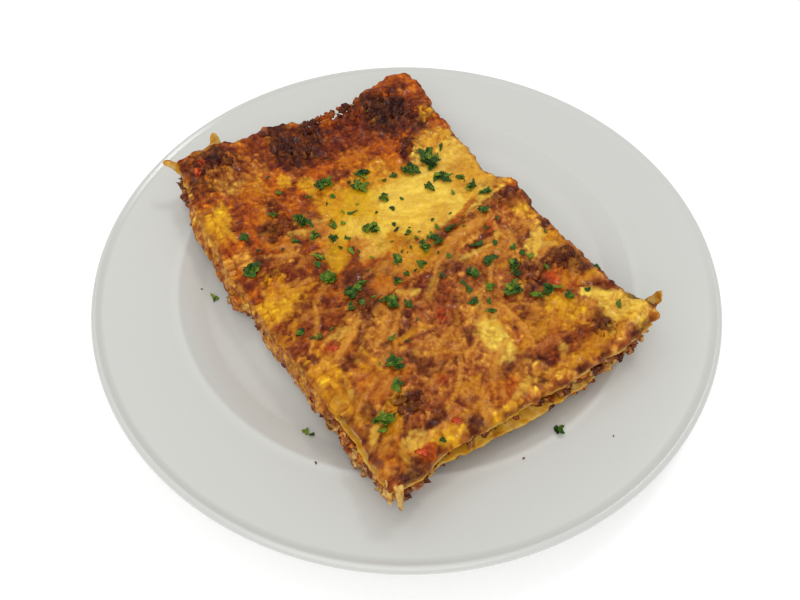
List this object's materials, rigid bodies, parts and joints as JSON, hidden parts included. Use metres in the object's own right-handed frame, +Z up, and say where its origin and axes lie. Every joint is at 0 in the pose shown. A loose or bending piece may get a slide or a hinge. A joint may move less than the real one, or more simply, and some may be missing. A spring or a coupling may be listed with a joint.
{
  "type": "lasagne slice on a plate",
  "caption": "Rectangular slice of baked lasagne with browned cheese and chopped parsley, lying across a round white dinner plate.",
  "frame": {"origin": "on the plate's axis, at the surface that its foot stands on", "axes": "+Z up along the plate's axis; the camera of the picture looks along +Y and down; the slice's long side is turned 123.2 degrees from +X"},
  "size_m": [0.27, 0.27, 0.0397],
  "materials": {
    "porcelain": "glossy white glaze",
    "pasta": "moist cooked egg pasta, satin",
    "ragu": "crumbly minced meat in sauce, half wet",
    "bechamel": "set cream sauce, satin",
    "cheese_crust": "melted and browned cheese, oily sheen",
    "parsley": "chopped fresh leaves, satin"
  },
  "bodies": {
    "root": {"plate": "porcelain", "pasta_sheet_1": "pasta", "ragu_1": "ragu", "pasta_sheet_2": "pasta", "ragu_2": "ragu", "pasta_sheet_3": "pasta", "bechamel": "bechamel", "cheese_crust": "cheese_crust", "parsley_1": "parsley", "parsley_2": "parsley", "parsley_3": "parsley", "parsley_4": "parsley", "parsley_5": "parsley", "parsley_6": "parsley", "parsley_7": "parsley", "parsley_8": "parsley", "parsley_9": "parsley", "parsley_10": "parsley", "parsley_11": "parsley", "parsley_12": "parsley", "parsley_13": "parsley", "parsley_14": "parsley", "parsley_15": "parsley", "parsley_16": "parsley", "parsley_17": "parsley", "parsley_18": "parsley", "parsley_19": "parsley", "parsley_20": "parsley", "parsley_21": "parsley", "parsley_22": "parsley"}
  },
  "joints": []
}
